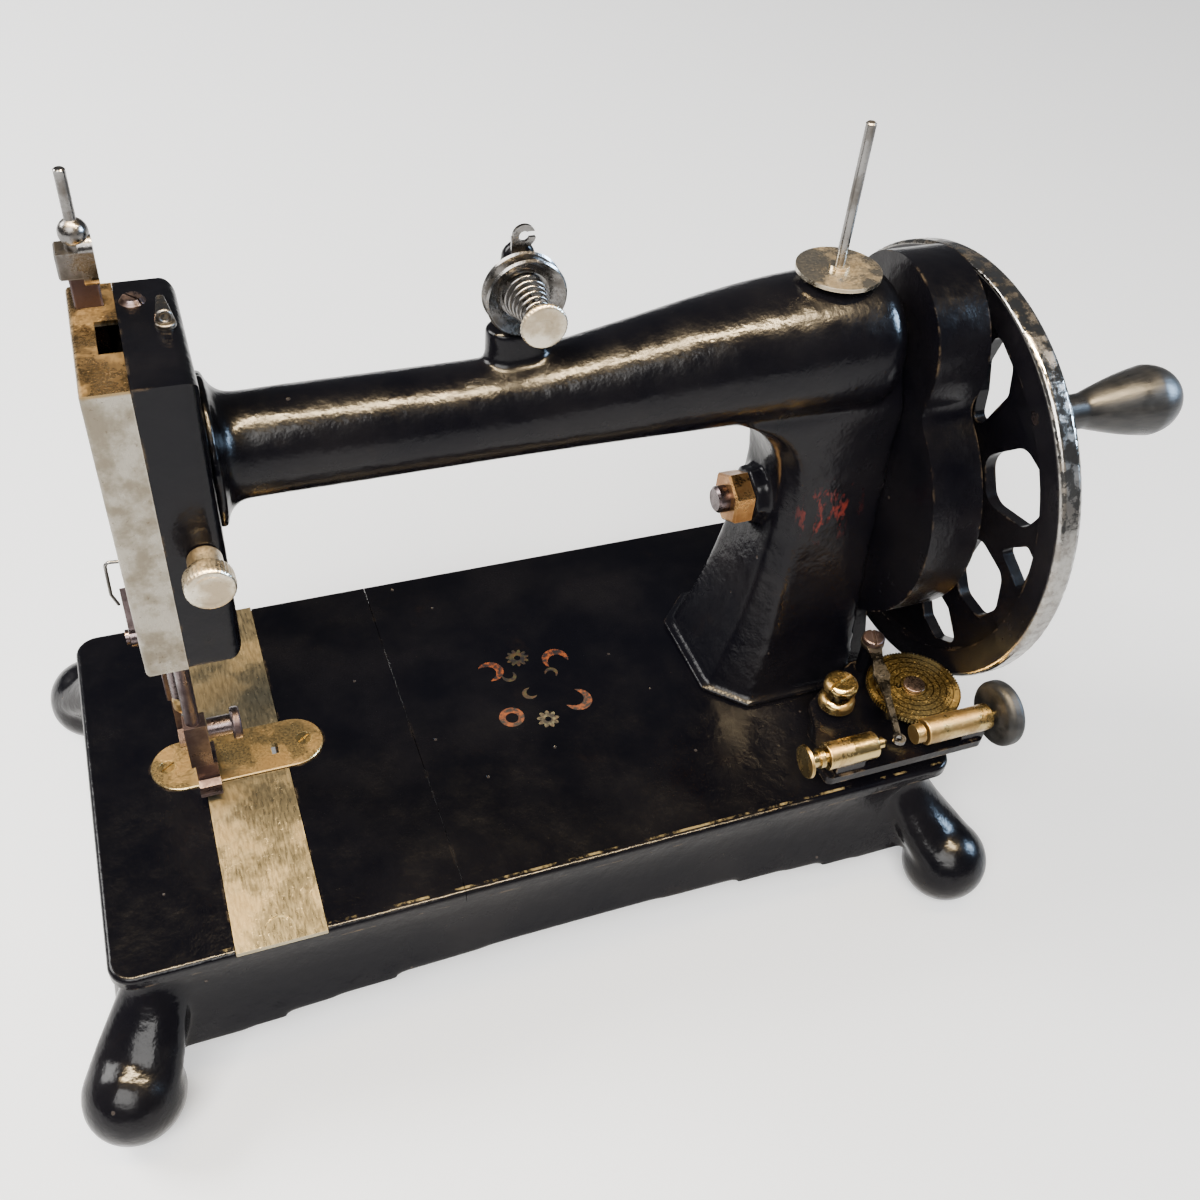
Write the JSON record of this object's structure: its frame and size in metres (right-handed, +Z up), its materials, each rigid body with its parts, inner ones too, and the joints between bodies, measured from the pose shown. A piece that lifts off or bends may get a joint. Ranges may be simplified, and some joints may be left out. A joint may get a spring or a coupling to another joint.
{
  "type": "hand-crank sewing machine",
  "caption": "Hand-crank sewing machine head on a cast base with ball feet, geared handwheel, slide plates and a bobbin winder.",
  "frame": {"origin": "on the floor, at the middle of the machine's whole footprint", "axes": "+X from the needle end to the handwheel, +Y to the back, +Z up"},
  "size_m": [0.4699, 0.258, 0.336],
  "materials": {
    "japanned_iron": "glossy black japanning, worn to brown at the edges",
    "wheel_iron": "black web with a polished rim",
    "bright_steel": "mottled bare steel",
    "polished_steel": "polished steel",
    "dark_steel": "darkened tool steel",
    "gear_iron": "machined cast iron",
    "spring_steel": "drawn wire",
    "needle_steel": "polished needle steel",
    "old_brass": "aged brass",
    "nickel": "worn nickel plate",
    "grip_wood": "ebonised wood",
    "rubber": "hard black rubber"
  },
  "bodies": {
    "frame": {"base_casting": "japanned_iron", "bed_plate": "japanned_iron", "shuttle_bed_plate": "japanned_iron", "bed_screws": "dark_steel", "needle_plate": "old_brass", "needle_plate_screws": "old_brass", "arm_casting": "japanned_iron", "head_casing": "japanned_iron", "face_plate": "bright_steel", "casing_screws": "dark_steel", "thread_guides": "polished_steel", "gear_guard": "japanned_iron", "wheel_stud": "dark_steel", "stud_nut": "old_brass", "arm_bushes": "old_brass", "spool_pin": "polished_steel", "spool_disc": "nickel", "tension_stud": "polished_steel", "tension_discs": "polished_steel", "tension_spring": "spring_steel", "tension_hook": "polished_steel", "winder_post": "japanned_iron", "winder_post_screw": "old_brass", "shuttle_race": "dark_steel"},
    "handwheel": {"handwheel": "wheel_iron", "drive_gear": "gear_iron", "crank_stud": "dark_steel"},
    "crank_grip": {"crank_grip": "grip_wood"},
    "arm_shaft": {"arm_shaft": "dark_steel", "pinion": "gear_iron", "crank_disc": "dark_steel"},
    "needle_link": {"needle_link": "dark_steel"},
    "needle_bar": {"needle_bar": "dark_steel", "needle_bar_block": "dark_steel", "needle_clamp": "old_brass", "needle": "needle_steel"},
    "presser_bar": {"presser_bar": "dark_steel", "presser_foot": "dark_steel", "presser_spring": "spring_steel"},
    "presser_thumb_screw": {"presser_thumb_screw": "dark_steel"},
    "feed_bar": {"feed_bar": "dark_steel", "feed_bar_cap": "polished_steel", "feed_foot": "dark_steel"},
    "presser_lifter": {"presser_lifter": "dark_steel"},
    "face_knob": {"face_knob": "nickel"},
    "tension_nut": {"tension_nut": "nickel"},
    "front_slide": {"front_slide": "bright_steel"},
    "back_slide": {"back_slide": "bright_steel"},
    "winder": {"winder_bracket": "japanned_iron", "winder_barrels": "old_brass", "winder_screws": "dark_steel"},
    "spring_centre": {"spring_centre": "old_brass"},
    "winder_spindle": {"winder_spindle": "old_brass", "friction_wheel": "rubber"},
    "cam_disc": {"cam_disc": "old_brass"},
    "guide_lever": {"guide_lever": "polished_steel"},
    "shuttle_lever": {"rock_shaft": "dark_steel", "shuttle_lever": "dark_steel", "shuttle": "needle_steel", "shuttle_bobbin": "old_brass"}
  },
  "joints": [
    {"name": "handwheel_turn", "type": "hinge", "parent": "frame", "child": "handwheel", "pos_m": [0.152, 0.004, 0.1715], "axis": [1, 0, 0], "continuous": true},
    {"name": "crank_grip_spin", "type": "hinge", "parent": "handwheel", "child": "crank_grip", "pos_m": [0.206, -0.05488, 0.2369], "axis": [1, 0, 0], "continuous": true},
    {"name": "arm_shaft_turn", "type": "hinge", "parent": "frame", "child": "arm_shaft", "pos_m": [-0.014, 0.004, 0.2405], "axis": [1, 0, 0], "continuous": true},
    {"name": "needle_link_turn", "type": "hinge", "parent": "arm_shaft", "child": "needle_link", "pos_m": [-0.161, 0.017, 0.2405], "axis": [1, 0, 0], "continuous": true},
    {"name": "needle_bar_slide", "type": "slide", "parent": "frame", "child": "needle_bar", "axis": [0, 0, 1], "range_m": [-0.013, 0.013]},
    {"name": "presser_bar_lift", "type": "slide", "parent": "frame", "child": "presser_bar", "axis": [0, 0, 1], "range_m": [0, 0.007], "stiffness_N_per_m": 250, "springref_m": -0.012},
    {"name": "presser_thumb_screw_turn", "type": "hinge", "parent": "presser_bar", "child": "presser_thumb_screw", "pos_m": [-0.1575, -0.007, 0.106], "axis": [1, 0, 0], "continuous": true},
    {"name": "feed_bar_lift", "type": "slide", "parent": "frame", "child": "feed_bar", "axis": [0, 0, 1], "range_m": [0, 0.006]},
    {"name": "presser_lifter_swing", "type": "hinge", "parent": "feed_bar", "child": "presser_lifter", "pos_m": [-0.182, 0.026, 0.134], "axis": [1, 0, 0], "range_deg": [-80, 0]},
    {"name": "face_knob_turn", "type": "hinge", "parent": "frame", "child": "face_knob", "pos_m": [-0.1517, -0.038, 0.216], "axis": [0, 1, 0], "continuous": true},
    {"name": "tension_nut_turn", "type": "hinge", "parent": "frame", "child": "tension_nut", "pos_m": [-0.029, -0.019, 0.2848], "axis": [0, 1, 0], "continuous": true},
    {"name": "front_slide_pull", "type": "slide", "parent": "frame", "child": "front_slide", "axis": [0, -1, 0], "range_m": [0, 0.06]},
    {"name": "back_slide_pull", "type": "slide", "parent": "frame", "child": "back_slide", "axis": [0, 1, 0], "range_m": [0, 0.06]},
    {"name": "winder_swing", "type": "hinge", "parent": "frame", "child": "winder", "pos_m": [0.106, -0.061, 0.089], "axis": [0, 0, 1], "range_deg": [0, 3.2]},
    {"name": "spring_centre_pull", "type": "slide", "parent": "winder", "child": "spring_centre", "axis": [-1, 0, 0], "range_m": [0, 0.006], "stiffness_N_per_m": 150, "springref_m": -0.002},
    {"name": "winder_spindle_turn", "type": "hinge", "parent": "winder", "child": "winder_spindle", "pos_m": [0.151, -0.092, 0.101], "axis": [1, 0, 0], "continuous": true},
    {"name": "cam_disc_turn", "type": "hinge", "parent": "winder", "child": "cam_disc", "pos_m": [0.1416, -0.06715, 0.101], "axis": [0, 0, 1], "continuous": true},
    {"name": "guide_lever_swing", "type": "hinge", "parent": "winder", "child": "guide_lever", "pos_m": [0.133, -0.0415, 0.108], "axis": [0, 0, 1], "range_deg": [-4, 10]},
    {"name": "shuttle_lever_swing", "type": "hinge", "parent": "frame", "child": "shuttle_lever", "pos_m": [0.098, 0.004, 0.054], "axis": [0, 0, 1], "range_deg": [-4.5, 4.5]}
  ],
  "couplings": [
    {"joint": "arm_shaft_turn", "follows": "handwheel_turn", "ratio": -3},
    {"joint": "needle_link_turn", "follows": "handwheel_turn", "ratio": 3},
    {"joint": "cam_disc_turn", "follows": "winder_spindle_turn", "ratio": 0.011111}
  ]
}
